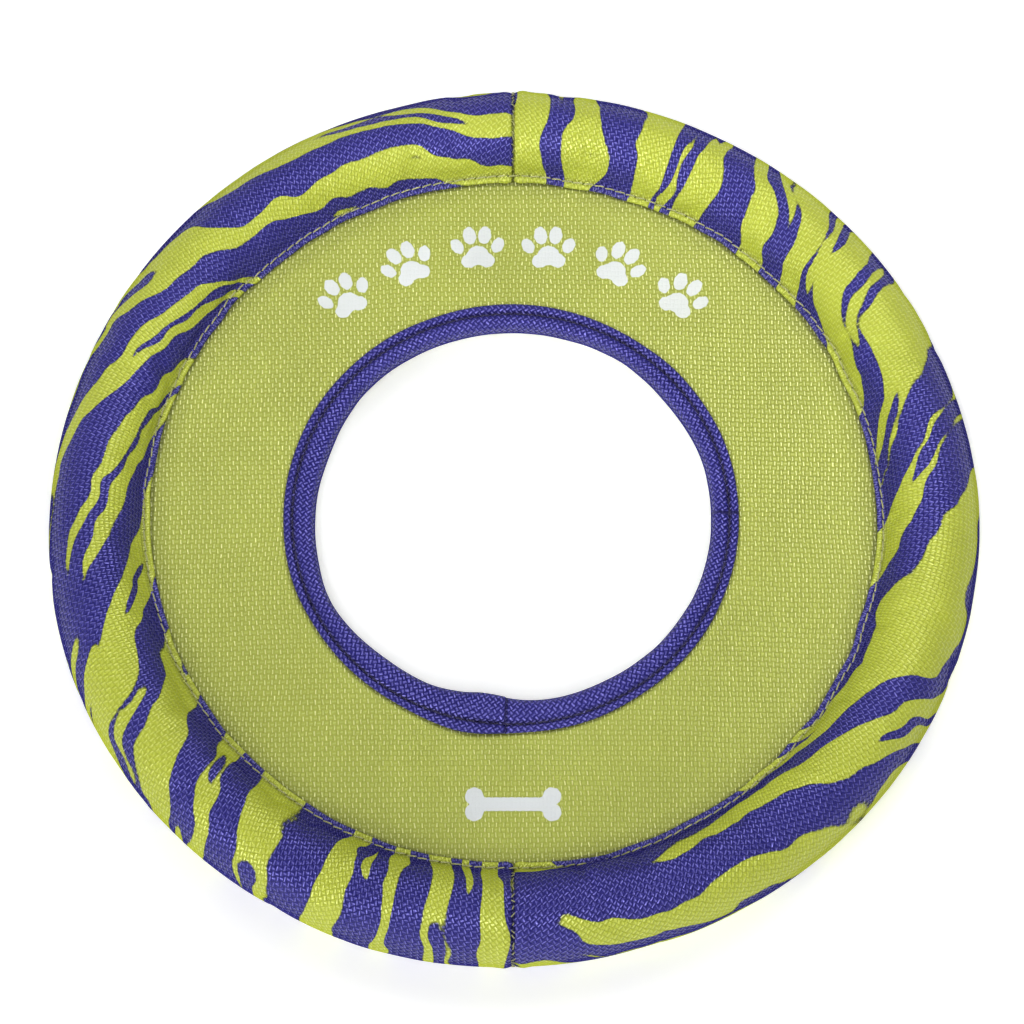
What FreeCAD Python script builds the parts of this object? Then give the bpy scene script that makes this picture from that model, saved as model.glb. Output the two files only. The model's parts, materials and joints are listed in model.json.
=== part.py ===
import FreeCAD, Part
import math
import os

# Flying ring: a foam rod bent into a ring inside a sewn fabric cover, with a padded fabric
# panel across it and a bound hole in the middle. Every part is sewn; nothing moves.
# Frame: origin on the resting plane under the centre of the ring, +Z up, +Y to the back seam.
# Heights inside a section are measured from the middle plane of the panel where it is sewn to the rim.

# Driving dimensions, millimetres
OUTER_RADIUS = 125.0        # outside of the covered rim
RIM_SECTION = 12.5          # radius of the covered rod
FOOT_WIDTH = 6.0            # flat that the soft rim rests on
FABRIC = 0.65               # woven polyester of covers and panels
PANEL_FOAM = 3.0            # foam sheet inside the panel
LAYER_GAP = 0.03            # clearance between neighbouring layers
HEM_EDGE_RADIUS = 97.7      # folded inner edge of the covers
HEM_END_RADIUS = 100.0      # where a cover leaves the panel and climbs to the rod
HEM_TURN_RADIUS = 102.2     # raw edge of the turned-under hem, inside the rim
PANEL_RADIUS = 102.4        # raw outer edge of the panel, inside the rim
HOLE_RADIUS = 53.7          # inside of the bound hole
HOLE_WALL = 2.5             # straight stretch at the middle of the binding's nose
PANEL_HOLE_RADIUS = 55.0    # hole in the panel under the binding
HOLE_LIFT = 3.0             # the soft panel rises this much from the rim to the hole
LIFT_START_RADIUS = 61.5
LIFT_END_RADIUS = 96.5
BINDING_EDGE_RADIUS = 61.0  # outer edge of the binding tape
BINDING_TAPE = 0.95         # thickness of the tape where it lies on the panel
BINDING_GROOVE_RADIUS = 58.5  # stitched channel in the tape
BINDING_GROOVE_DEPTH = 0.5
BINDING_GROOVE_WIDTH = 1.0
OVERLAP_LENGTH = 12.0       # doubled end of the binding tape
OVERLAP_EXTRA = 0.5
OVERLAP_CENTRE_ANGLE = 262.0  # from +X, like every angle about Z
SEAM_ALLOWANCE = 8.0        # turned-in end of a cover at a cross seam
SEAM_GAP = 0.5              # valley between the two covers
THREAD_RADIUS = 0.22
SEAM_THREAD_RADIUS = 0.18
STITCH_PITCH = 3.0
STITCH_LENGTH = 2.3
STITCH_SLANT = 8.0          # degrees that a stitch turns from the row
RIM_STITCH_RADIUS = 99.5

# Worked out from them
RIM_CENTRE_RADIUS = OUTER_RADIUS - RIM_SECTION
FOOT_DEPTH = math.sqrt(RIM_SECTION ** 2 - (FOOT_WIDTH / 2) ** 2)
MIDDLE_HEIGHT = FOOT_DEPTH
WALL_INSIDE = RIM_SECTION - FABRIC
ROD_RADIUS = WALL_INSIDE - LAYER_GAP
ROD_FLAT_RADIUS = PANEL_RADIUS + 0.2
PANEL_FABRIC_LOW = PANEL_FOAM / 2 + LAYER_GAP
PANEL_HALF = PANEL_FABRIC_LOW + FABRIC
LAYER_ON_PANEL = PANEL_HALF + LAYER_GAP
HEM_TOP = LAYER_ON_PANEL + 2 * FABRIC
BACK_ANGLE = 90.0
FRONT_ANGLE = 270.0


def point(radius, height):
    """Point of a section, in the plane that is turned about Z."""
    return FreeCAD.Vector(radius, 0, MIDDLE_HEIGHT + height)


def rim_point(section_radius, angle):
    """Point round the rim's section; 0 degrees points outwards and 90 points up."""
    turn = math.radians(angle)
    return point(RIM_CENTRE_RADIUS + section_radius * math.cos(turn), section_radius * math.sin(turn))


def line(start, end):
    return Part.makeLine(start, end)


def arc(start, middle, end):
    return Part.Arc(start, middle, end).toShape()


def turned(edges, start_angle, sweep):
    """Solid made by turning a closed section about Z."""
    face = Part.Face(Part.Wire(Part.__sortEdges__(edges)))
    face.rotate(FreeCAD.Vector(0, 0, 0), FreeCAD.Vector(0, 0, 1), start_angle)
    return face.revolve(FreeCAD.Vector(0, 0, 0), FreeCAD.Vector(0, 0, 1), sweep)


def arc_angle(length, radius):
    """Angle in degrees that a length takes up on a circle."""
    return math.degrees(length / radius)


def hem_slope():
    """Angle at which the cover climbs from the end of the hem until it touches the rim's circle."""
    across = RIM_CENTRE_RADIUS - HEM_END_RADIUS
    distance = math.hypot(across, HEM_TOP)
    return math.degrees(math.asin(RIM_SECTION / distance) - math.atan2(HEM_TOP, across))


def rim_skin(section_radius, foot_depth, touch):
    """Edges round the rim from the upper touch angle, over the outside and the flat foot, to the lower."""
    half_foot = math.degrees(math.acos(foot_depth / section_radius))
    outer_foot = -90 + half_foot
    inner_foot = -90 - half_foot
    upper = [rim_point(section_radius, angle) for angle in (touch, (touch + outer_foot) / 2, outer_foot)]
    lower = [rim_point(section_radius, angle) for angle in (inner_foot, (inner_foot - touch) / 2, -touch)]
    return [arc(*upper), line(upper[2], lower[0]), arc(*lower)]


def hem_edges(side, touch):
    """Folded hem on one face of the panel, and both skins of the wall that climbs to the rim's circle."""
    def at(radius, height):
        return point(radius, side * height)

    slope = math.radians(touch - 90)
    middle = LAYER_ON_PANEL + FABRIC
    inner_skin_shift = FABRIC / math.sin(slope) - FABRIC / math.tan(slope)
    split = at(HEM_END_RADIUS + inner_skin_shift, middle)
    fold_low = at(HEM_EDGE_RADIUS + FABRIC, LAYER_ON_PANEL)
    fold_high = at(HEM_EDGE_RADIUS + FABRIC, HEM_TOP)
    hem_end = at(HEM_END_RADIUS, HEM_TOP)
    turn_low = at(HEM_TURN_RADIUS, LAYER_ON_PANEL)
    turn_high = at(HEM_TURN_RADIUS, middle)
    return [
        arc(fold_low, at(HEM_EDGE_RADIUS, middle), fold_high),
        line(fold_high, hem_end),
        line(hem_end, rim_point(RIM_SECTION, side * touch)),
        line(fold_low, turn_low),
        line(turn_low, turn_high),
        line(turn_high, split),
        line(split, rim_point(WALL_INSIDE, side * touch)),
    ]


def make_cover(start_angle):
    """Half of the rim's cover: hems above and below the panel, and turned-in ends at the cross seams."""
    touch = 90 + hem_slope()
    gap = arc_angle(SEAM_GAP / 2, RIM_CENTRE_RADIUS)
    skins = rim_skin(RIM_SECTION, FOOT_DEPTH, touch) + rim_skin(WALL_INSIDE, FOOT_DEPTH - FABRIC, touch)
    cover = turned(skins + hem_edges(1, touch) + hem_edges(-1, touch), start_angle + gap, 180 - 2 * gap)

    buried = WALL_INSIDE + FABRIC / 2
    inside = WALL_INSIDE - FABRIC
    flap_skins = rim_skin(buried, FOOT_DEPTH - FABRIC / 2, touch)
    flap_skins += rim_skin(inside, FOOT_DEPTH - 2 * FABRIC, touch)
    flap_ends = [line(rim_point(inside, side * touch), rim_point(buried, side * touch)) for side in (1, -1)]
    flap_sweep = arc_angle(SEAM_ALLOWANCE, RIM_CENTRE_RADIUS)
    for flap_start in (start_angle + gap, start_angle + 180 - gap - flap_sweep):
        cover = cover.fuse(turned(flap_skins + flap_ends, flap_start, flap_sweep))
    return cover.removeSplitter()


def rod_section(section_radius, foot_depth):
    """Section of the foam rod, pressed flat by the panel's edge and at the foot."""
    half_flat = math.acos((RIM_CENTRE_RADIUS - ROD_FLAT_RADIUS) / section_radius)
    flat_angle = 180 - math.degrees(half_flat)
    skin = rim_skin(section_radius, foot_depth, flat_angle)
    return skin + [line(rim_point(section_radius, flat_angle), rim_point(section_radius, -flat_angle))]


def make_core_ring():
    """Foam rod bent into a ring and joined end to end, squeezed where the seam allowances lie on it."""
    foot = FOOT_DEPTH - FABRIC - LAYER_GAP
    squeezed = arc_angle(SEAM_ALLOWANCE + 0.5, RIM_CENTRE_RADIUS)
    ring = None
    for seam in (BACK_ANGLE, FRONT_ANGLE):
        waist = turned(rod_section(ROD_RADIUS - FABRIC, foot - FABRIC), seam - squeezed, 2 * squeezed)
        span = turned(rod_section(ROD_RADIUS, foot), seam + squeezed, 180 - 2 * squeezed)
        pair = waist.fuse(span)
        ring = pair if ring is None else ring.fuse(pair)
    return ring.removeSplitter()


def make_panel_layer(low, high):
    """One layer of the panel: flat at the hole and in the hem, rising gently between them."""
    lifts = {PANEL_HOLE_RADIUS: HOLE_LIFT, LIFT_START_RADIUS: HOLE_LIFT, LIFT_END_RADIUS: 0, PANEL_RADIUS: 0}
    lower = [point(radius, low + lift) for radius, lift in lifts.items()]
    upper = [point(radius, high + lift) for radius, lift in lifts.items()]
    corners = lower + upper[::-1]
    return turned([line(start, end) for start, end in zip(corners, corners[1:] + corners[:1])], 0, 360)


def binding_section(extra):
    """Tape folded round the panel's edge, with a stitched groove, a fat rolled nose and extra thickness."""
    def at(radius, height):
        return point(radius, HOLE_LIFT + height)

    top = LAYER_ON_PANEL + BINDING_TAPE + extra
    groove = top - BINDING_GROOVE_DEPTH
    half_groove = BINDING_GROOVE_WIDTH / 2
    cavity_radius = PANEL_HOLE_RADIUS - LAYER_GAP
    roll_top = top + 0.25
    edges = [line(at(HOLE_RADIUS, -HOLE_WALL / 2), at(HOLE_RADIUS, HOLE_WALL / 2))]
    for side in (1, -1):
        path = [
            at(BINDING_GROOVE_RADIUS + half_groove + 0.3, side * top),
            at(BINDING_GROOVE_RADIUS + half_groove, side * groove),
            at(BINDING_GROOVE_RADIUS - half_groove, side * groove),
            at(BINDING_GROOVE_RADIUS - half_groove - 0.3, side * top),
            at(BINDING_GROOVE_RADIUS - half_groove - 1.5, side * roll_top),
        ]
        edge_low = at(BINDING_EDGE_RADIUS, side * LAYER_ON_PANEL)
        edge_high = at(BINDING_EDGE_RADIUS, side * (top - 0.15))
        cavity_corner = at(cavity_radius, side * LAYER_ON_PANEL)
        nose_middle = at(HOLE_RADIUS + 0.75, side * (HOLE_WALL / 2 + 0.74 * (roll_top - HOLE_WALL / 2)))
        edges += [line(start, end) for start, end in zip([edge_low, edge_high] + path, [edge_high] + path)]
        edges.append(arc(path[-1], nose_middle, at(HOLE_RADIUS, side * HOLE_WALL / 2)))
        edges.append(line(edge_low, cavity_corner))
        edges.append(line(cavity_corner, at(cavity_radius, 0)))
    return edges


def make_hole_binding():
    """Binding tape round the hole, doubled where its two ends overlap."""
    overlap = arc_angle(OVERLAP_LENGTH, BINDING_GROOVE_RADIUS)
    start = OVERLAP_CENTRE_ANGLE - overlap / 2
    single = turned(binding_section(0), start + overlap, 360 - overlap)
    doubled = turned(binding_section(OVERLAP_EXTRA), start, overlap)
    return single.fuse(doubled).removeSplitter()


def stitch(centre, direction, thread_radius):
    """One stitch: a short round bar of thread lying on the cloth."""
    start = centre - direction * (STITCH_LENGTH / 2)
    return Part.makeCylinder(thread_radius, STITCH_LENGTH, start, direction)


def stitch_ring(radius, height, skip=()):
    """Row of stitches round Z on one face of the cloth; skip is a span of angles to leave out."""
    count = round(2 * math.pi * radius / STITCH_PITCH)
    bars = []
    for number in range(count):
        angle = 360.0 * number / count
        if skip and skip[0] < angle < skip[1]:
            continue
        turn = math.radians(angle)
        heading = math.radians(angle + 90 + STITCH_SLANT)
        centre = FreeCAD.Vector(radius * math.cos(turn), radius * math.sin(turn), MIDDLE_HEIGHT + height)
        bars.append(stitch(centre, FreeCAD.Vector(math.cos(heading), math.sin(heading), 0), THREAD_RADIUS))
    return Part.makeCompound(bars)


def make_binding_thread(side):
    """Stitches in the binding's groove, left out where the tape is doubled."""
    top = LAYER_ON_PANEL + BINDING_TAPE - BINDING_GROOVE_DEPTH + THREAD_RADIUS + LAYER_GAP
    overlap = arc_angle(OVERLAP_LENGTH, BINDING_GROOVE_RADIUS)
    clear = overlap / 2 + arc_angle(STITCH_LENGTH, BINDING_GROOVE_RADIUS)
    span = (OVERLAP_CENTRE_ANGLE - clear, OVERLAP_CENTRE_ANGLE + clear)
    return stitch_ring(BINDING_GROOVE_RADIUS, HOLE_LIFT + side * top, span)


def make_seam_thread(seam_angle):
    """Stitches in the valley of a cross seam, from hem to hem, missing where the rim rests."""
    touch = 90 + hem_slope()
    section_radius = RIM_SECTION - 0.3
    step = arc_angle(STITCH_PITCH, section_radius)
    count = int(2 * touch / step)
    foot_clear = 25
    bars = []
    for number in range(count):
        angle = touch - step * (number + 0.5)
        if abs(angle + 90) < foot_clear:
            continue
        turn = math.radians(angle)
        direction = FreeCAD.Vector(-math.sin(turn), 0, math.cos(turn))
        bars.append(stitch(rim_point(section_radius, angle), direction, SEAM_THREAD_RADIUS))
    thread = Part.makeCompound(bars)
    thread.rotate(FreeCAD.Vector(0, 0, 0), FreeCAD.Vector(0, 0, 1), seam_angle)
    return thread


rim_thread_height = HEM_TOP + THREAD_RADIUS + LAYER_GAP
nodes = {
    "core_ring": make_core_ring(),
    "cover_right": make_cover(FRONT_ANGLE),
    "cover_left": make_cover(BACK_ANGLE),
    "panel_core": make_panel_layer(-PANEL_FOAM / 2, PANEL_FOAM / 2),
    "panel_top": make_panel_layer(PANEL_FABRIC_LOW, PANEL_HALF),
    "panel_bottom": make_panel_layer(-PANEL_HALF, -PANEL_FABRIC_LOW),
    "hole_binding": make_hole_binding(),
    "rim_needle_thread": stitch_ring(RIM_STITCH_RADIUS, rim_thread_height),
    "rim_bobbin_thread": stitch_ring(RIM_STITCH_RADIUS, -rim_thread_height),
    "binding_needle_thread": make_binding_thread(1),
    "binding_bobbin_thread": make_binding_thread(-1),
    "seam_thread_back": make_seam_thread(BACK_ANGLE),
    "seam_thread_front": make_seam_thread(FRONT_ANGLE),
}

os.makedirs("parts", exist_ok=True)
for name, shape in nodes.items():
    shape.exportStep("parts/" + name + ".step")
    print(name, len(shape.Solids), "solids,", round(shape.Volume), "mm3, valid:", shape.isValid())
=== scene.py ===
import json
import math

import bmesh
import bpy
import numpy as np
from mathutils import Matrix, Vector


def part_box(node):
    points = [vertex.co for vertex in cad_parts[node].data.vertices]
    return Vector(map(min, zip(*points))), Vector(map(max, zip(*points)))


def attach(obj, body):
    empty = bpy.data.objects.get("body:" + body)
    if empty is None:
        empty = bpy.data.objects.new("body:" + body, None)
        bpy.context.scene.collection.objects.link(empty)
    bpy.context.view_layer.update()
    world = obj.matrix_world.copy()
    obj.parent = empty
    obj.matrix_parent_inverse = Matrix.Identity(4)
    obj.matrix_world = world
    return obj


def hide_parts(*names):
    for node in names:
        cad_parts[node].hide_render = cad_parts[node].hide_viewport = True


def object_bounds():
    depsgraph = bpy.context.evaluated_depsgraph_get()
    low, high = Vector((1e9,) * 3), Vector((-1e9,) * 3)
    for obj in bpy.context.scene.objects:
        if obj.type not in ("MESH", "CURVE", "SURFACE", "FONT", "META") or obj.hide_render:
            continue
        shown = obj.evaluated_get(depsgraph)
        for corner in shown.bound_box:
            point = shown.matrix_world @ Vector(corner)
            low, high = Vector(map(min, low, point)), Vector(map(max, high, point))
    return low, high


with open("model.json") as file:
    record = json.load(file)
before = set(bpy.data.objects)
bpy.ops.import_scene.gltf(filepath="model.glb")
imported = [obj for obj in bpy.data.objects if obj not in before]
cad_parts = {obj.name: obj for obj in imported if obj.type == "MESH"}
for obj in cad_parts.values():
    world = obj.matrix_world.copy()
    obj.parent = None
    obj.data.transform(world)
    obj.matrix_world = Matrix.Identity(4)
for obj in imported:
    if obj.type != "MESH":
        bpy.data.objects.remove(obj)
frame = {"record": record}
cad_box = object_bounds()

# The ring is in millimetres until a mesh is made. Lamps, camera and reliefs are in metres.
# Angles are in degrees, and turn about +Z from +X.
METRE = 0.001
BACK = 90.0
FRONT = 270.0

# Cloth and sewing
CLOTH = 0.65
LAYER_GAP = 0.03              # between neighbouring layers
PANEL_FOAM = 3.0
HEM_BACK_FROM_STITCH = 1.8    # from the row of stitches in to the hem's fold
HEM_END_PAST_STITCH = 0.6     # and out to where the cover leaves the panel
HEM_TURN = 2.7                # depth of the cloth turned under, past the row
HEM_FILLET = 1.4
SEAM_ROLL = 0.8               # radius of a cover's rounded end at a cross seam
RIM_STITCHES = 208
BINDING_STITCHES = 118
SEAM_PITCH = 1.86
WARP_PITCH = 1.0
WEFT_PITCH = 1.39
TAPE_PITCH = 1.2

# The binding: radii from the ring's axis, how it is sewn off centre and wide, how the hole's
# edge bulges (angle, width and height of each bulge), and where the tape's end lies doubled
TAPE_EDGE = 61.0
GROOVE = 58.5
PANEL_HOLE = 55.0
OFF_CENTRE = 1.4
OFF_CENTRE_ANGLE = 245.0
SEWN_WIDE = 0.3
HOLE_NARROW = 0.25
HOLE_BULGES = ((208, 15, 1.5), (262, 12, -1.9), (38, 14, -0.9), (160, 14, -0.8))
OVERLAP_STEP = 268.0
OVERLAP_SPAN = 12.0

# Threads: half of a stitch as a share of its pitch, thickness and height of its arch
RIM_THREAD = {"half": 0.43, "radius": 0.2, "rise": 0.19}
BINDING_THREAD = {"half": 0.42, "radius": 0.2, "rise": 0.16}
SEAM_THREAD = {"radius": 0.14, "rise": 0.24}
HALF_STITCH_WIDTH = 0.38

# Sizes that the frame gives
core_low, core_high = (np.array(corner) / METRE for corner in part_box("panel_core"))
stitch_high = np.array(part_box("rim_needle_thread")[1]) / METRE
mounts = {mount["name"]: mount for mount in frame["record"]["mounts"]}

MIDDLE = core_low[2] + PANEL_FOAM / 2
SECTION = cad_box[1].z / METRE - MIDDLE
RIM_CENTRE = cad_box[1].x / METRE - SECTION
PANEL_RADIUS = core_high[0]
HOLE_LIFT = core_high[2] - PANEL_FOAM / 2 - MIDDLE
HOLE_RADIUS = mounts["centre_hole"]["dims"]["r_mm"]
STITCH_ROW = stitch_high[0] - HALF_STITCH_WIDTH
HEM_EDGE = STITCH_ROW - HEM_BACK_FROM_STITCH
PANEL_HALF = PANEL_FOAM / 2 + LAYER_GAP + CLOTH
LAYER = PANEL_HALF + LAYER_GAP

# Printed stripes, at angles along a cover: how far they lean, and how wide they are
STRIPE_LEAN = {-5: 92, 30: 86, 52: 66, 70: 42, 90: 28, 120: 20, 150: 15, 185: 10}
STRIPE_WIDTH = {-5: 15, 20: 15, 45: 16, 70: 18, 110: 19, 185: 19}

# Printed motifs: millimetres to a unit of their drawing, the radius and angles that they stand
# at, and how far round its middle a motif is drawn
PAW = 1
BONE = 2
PAW_SIZE = 1.55
PAW_ROW = 77.5
PAW_STEP = 14.4
PAW_TILTS = (-9, 7, -5, 8, -6, 9)
BONE_SIZE = 1.35
BONE_ROW = 81.5
MOTIF_REACH = {PAW: 9.0, BONE: 15.0}

# Cloth simulation: points round the ring and over the section, frames, and how much larger it is
SIM_RINGS = 288
SIM_ROWS = 27
SIM_FRAMES = 22
SIM_SCALE = 10
SIM_CLOTH = {
    "quality": 6, "mass": 0.3, "tension_stiffness": 40, "compression_stiffness": 40,
    "shear_stiffness": 10, "bending_stiffness": 1.0, "shrink_min": -0.018, "use_pressure": True,
    "uniform_pressure_force": 14, "vertex_group_mass": "sewn",
}

# Colours: the dye, the painted highlight lines on its threads, and the tint of its gloss
LIME = (0.515, 0.58, 0.050, 1)
LIME_PAINTED_GLINT = (0.86, 0.92, 0.28, 1)
LIME_GLOSS = (0.95, 1.0, 0.45, 1)
INDIGO = (0.020, 0.018, 0.176, 1)
INDIGO_PAINTED_GLINT = (0.34, 0.32, 0.97, 1)
INDIGO_GLOSS = (0.36, 0.34, 1.0, 1)
PANEL_LIME = (0.385, 0.43, 0.066, 1)
PANEL_PAINTED_GLINT = (1.0, 1.0, 0.55, 1)
INK = (0.70, 0.73, 0.765, 1)
SPECK = (0.50, 0.50, 0.46, 1)
PALE_THREAD = (0.52, 0.53, 0.22, 1)
NAVY_THREAD = (0.020, 0.016, 0.075, 1)
FOAM_WHITE = (0.86, 0.86, 0.85, 1)
WHITE = (1, 1, 1, 1)
YARN_IOR = 1.9

# Real heights of the weaves' bumps, in metres
COVER_RELIEF = 0.00022
PANEL_RELIEF = 0.00018
TAPE_RELIEF = 0.00030
PLY_RELIEF = 0.00006
FOAM_RELIEF = 0.0002

# Lamps: azimuth, tilt from straight up, distance, size and power, then target and spread
LAMPS = {
    "main_lamp": (270, 31, 1.4, 0.4, 5.6),
    "accent_lamp": (262, 20, 1.3, 0.2, 0.09, (0.04, 0.13, 0), 22),
    "front_lamp": (270, 70, 1.5, 0.5, 2.4),
    "left_lamp": (225, 60, 1.5, 0.5, 7.0),
    "right_lamp": (50, 35, 0.75, 0.4, 2.1),
    "back_lamp": (130, 35, 0.75, 0.4, 1.1),
}


# -------- noise and small maths

def lattice_noise(x, y, seed):
    """Smooth noise from -1 to 1 on a seeded lattice that repeats every 64 cells."""
    lattice = np.random.default_rng(seed).uniform(-1, 1, (64, 64))
    column = np.floor(x).astype(int)
    row = np.floor(y).astype(int)
    across, along = (f * f * f * (f * (6 * f - 15) + 10) for f in (x - column, y - row))

    def corner(i, j):
        return lattice[(column + i) % 64, (row + j) % 64]

    low = corner(0, 0) * (1 - across) + corner(1, 0) * across
    high = corner(0, 1) * (1 - across) + corner(1, 1) * across
    return low * (1 - along) + high * along


def smooth(low, high, x):
    """0 below low, 1 above high, and an S-curve between."""
    t = np.clip((x - low) / (high - low), 0, 1)
    return t * t * (3 - 2 * t)


def bump(x, width):
    """1 at x = 0, falling to nothing over a few widths."""
    return np.exp(-(x / width) ** 2)


def round_noise(angle, wavelength, seed, radius=RIM_CENTRE):
    """Noise round the ring, with no step where it closes."""
    turn = np.radians(angle)
    reach = radius / wavelength
    return lattice_noise(20 + reach * np.cos(turn), 20 + reach * np.sin(turn), seed)


def around(radius, angle, height):
    """Points in space from a radius, an angle and a height."""
    turn = np.radians(angle)
    return np.stack(np.broadcast_arrays(radius * np.cos(turn), radius * np.sin(turn), height), -1)


def distance_along(path):
    """Distance of each point of a path from its first point."""
    return np.r_[0, np.cumsum(np.hypot(*np.diff(path, axis=0).T))]


# -------- meshes

def add_object(name, data):
    made = bpy.data.objects.new(name, data)
    bpy.context.scene.collection.objects.link(made)
    return made


def make_piece(name, points, faces, attributes, material, node):
    """A smooth-shaded mesh from points in millimetres, riding on the root body."""
    mesh = bpy.data.meshes.new(name)
    mesh.from_pydata((np.asarray(points).reshape(-1, 3) * METRE).tolist(), [], faces)
    for key, values in attributes.items():
        values = np.asarray(values, float)
        kind, field = ("FLOAT_VECTOR", "vector") if values.ndim > 1 else ("FLOAT", "value")
        layer = mesh.attributes.new(key, kind, "POINT")
        layer.data.foreach_set(field, values.ravel())
    work = bmesh.new()
    work.from_mesh(mesh)
    bmesh.ops.recalc_face_normals(work, faces=work.faces)
    work.to_mesh(mesh)
    work.free()
    mesh.polygons.foreach_set("use_smooth", [True] * len(mesh.polygons))
    mesh.materials.append(material)
    piece = add_object(name, mesh)
    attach(piece, "root")
    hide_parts(node)
    return piece


def loft_faces(rings, loop, closed, tube=True):
    """Quads between rings of points. closed joins the last ring to the first, and tube joins the
    last point of each ring to its first."""
    ring = np.arange(rings if closed else rings - 1)[:, None]
    step = np.arange(loop if tube else loop - 1)[None, :]
    start, after = ring * loop, (ring + 1) % rings * loop
    turn = (step + 1) % loop
    quads = np.stack([start + step, after + step, after + turn, start + turn], -1)
    return quads.reshape(-1, 4).tolist()


def shell_cap(ring_start, loop):
    """Quads that close the end of a shell, whose loop is an outer skin and then the inner skin back."""
    last = loop - 1
    return [
        [ring_start + i, ring_start + i + 1, ring_start + last - i - 1, ring_start + last - i]
        for i in range(loop // 2 - 1)
    ]


# -------- the rim's section

def arc_points(centre, radius, start, end, step):
    count = max(2, math.ceil(abs(math.radians(end - start)) * radius / step))
    turn = np.radians(np.linspace(start, end, count + 1))
    return np.column_stack((centre[0] + radius * np.cos(turn), centre[1] + radius * np.sin(turn)))


def line_points(start, end, step):
    count = max(1, math.ceil(math.dist(start, end) / step))
    share = np.linspace(0, 1, count + 1)[:, None]
    return np.array(start) * (1 - share) + np.array(end) * share


def rim_path():
    """Middle line of a cover's cloth, from its upper turned edge round the rod to the lower one.

    Gives radius and height over the panel's middle plane, the outward normals, and the distance
    along the cloth from the rim's outermost point, positive above it."""
    half = CLOTH / 2
    step = 0.86
    fillet_step = 0.5
    fold_step = 0.17
    centre = (RIM_CENTRE, 0.0)
    cloth_circle = SECTION - half
    fold = (HEM_EDGE + CLOTH, LAYER + CLOTH)
    turned_edge = (STITCH_ROW + HEM_TURN - CLOTH, LAYER + half)
    corner = (STITCH_ROW + HEM_END_PAST_STITCH, LAYER + 1.5 * CLOTH)
    across = RIM_CENTRE - corner[0]
    slope = math.asin(cloth_circle / math.hypot(across, corner[1])) - math.atan2(corner[1], across)
    touch = 90 + math.degrees(slope)
    fillet_centre = (corner[0] - HEM_FILLET * math.tan(slope / 2), corner[1] + HEM_FILLET)
    fillet = arc_points(fillet_centre, HEM_FILLET, -90, touch - 180, fillet_step)
    half_foot = math.degrees(math.acos((MIDDLE - half) / cloth_circle))
    rod = arc_points(centre, cloth_circle, touch, half_foot - 90, step)
    under = arc_points(centre, cloth_circle, -90 - half_foot, -touch, step)
    upper = np.vstack([
        line_points(turned_edge, (fold[0], LAYER + half), step),
        arc_points(fold, half, -90, -270, fold_step),
        line_points((fold[0], corner[1]), tuple(fillet[0]), step),
        fillet,
        line_points(tuple(fillet[-1]), tuple(rod[0]), step),
    ])
    lower = upper[::-1] * (1, -1)
    path = np.vstack([upper, rod, line_points(tuple(rod[-1]), tuple(under[0]), step), under, lower])
    path = path[np.r_[True, np.hypot(*np.diff(path, axis=0).T) > 1e-6]]
    length = distance_along(path)
    outermost = int(np.argmax(path[:, 0]))
    tangent = np.gradient(path, axis=0)
    tangent /= np.hypot(*tangent.T)[:, None]
    normal = np.column_stack((-tangent[:, 1], tangent[:, 0]))
    return path, normal, length[outermost] - length


PATH, NORMAL, STATION = rim_path()
HEM_FOLD = STATION[int(np.argmin(np.where(STATION > 0, PATH[:, 0], 1e9)))]
STITCH_STATION = HEM_FOLD - HEM_BACK_FROM_STITCH + 0.2


def section_at(station):
    """Radius, height and outward normal of the plain cover at distances along its section."""
    order = np.argsort(STATION)
    return [np.interp(station, STATION[order], values[order]) for values in (*PATH.T, *NORMAL.T)]


# -------- the simulated cover

def lay_out_cover(angles, stations):
    """The rim's cloth between its two sewn rows as a mesh object, a little uneven to start with."""
    radius, height, out_r, out_h = section_at(stations)
    start = 0.12 * round_noise(angles, 7, 61) + 0.12 * lattice_noise(angles / 4 + 3, stations / 7 + 9, 62)
    points = around(radius + out_r * start, angles, height + out_h * start)
    points = points.reshape(-1, 3) * SIM_SCALE * METRE
    mesh = bpy.data.meshes.new("cover_simulation")
    mesh.from_pydata(points.tolist(), [], loft_faces(SIM_RINGS, SIM_ROWS, True, tube=False))
    cover = add_object("cover_simulation", mesh)
    sewn = cover.vertex_groups.new(name="sewn")
    edges = [ring * SIM_ROWS + row for ring in range(SIM_RINGS) for row in (0, SIM_ROWS - 1)]
    sewn.add(edges, 1.0, "REPLACE")
    return cover


def simulate_cover():
    """Blows the cover up between its sewn rows with Blender's cloth, and gives how far it moved.

    The cloth is cut a little too long for the rows, as the real one is, so it puckers beside them.
    It is simulated at ten times its size, which suits the solver. The answer is in millimetres
    outward, on a grid of angle and station, with each station's mean taken off."""
    angles = np.arange(SIM_RINGS)[:, None] * 360 / SIM_RINGS
    stations = np.linspace(-STITCH_STATION, STITCH_STATION, SIM_ROWS)[None, :]
    cover = lay_out_cover(angles, stations)
    cloth = cover.modifiers.new("cloth", "CLOTH").settings
    for setting, value in SIM_CLOTH.items():
        setattr(cloth, setting, value)
    cloth.effector_weights.gravity = 0
    for number in range(1, SIM_FRAMES + 1):
        bpy.context.scene.frame_set(number)
    blown = cover.evaluated_get(bpy.context.evaluated_depsgraph_get()).data
    moved = np.empty(len(blown.vertices) * 3)
    blown.vertices.foreach_get("co", moved)
    moved = moved.reshape(SIM_RINGS, SIM_ROWS, 3) / (SIM_SCALE * METRE)
    bpy.context.scene.frame_set(1)
    mesh = cover.data
    bpy.data.objects.remove(cover)
    bpy.data.meshes.remove(mesh)
    radius, height, out_r, out_h = section_at(stations)
    rise = np.sum((moved - around(radius, angles, height)) * around(out_r, angles, out_h), axis=-1)
    return rise - rise.mean(axis=0, keepdims=True)


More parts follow.
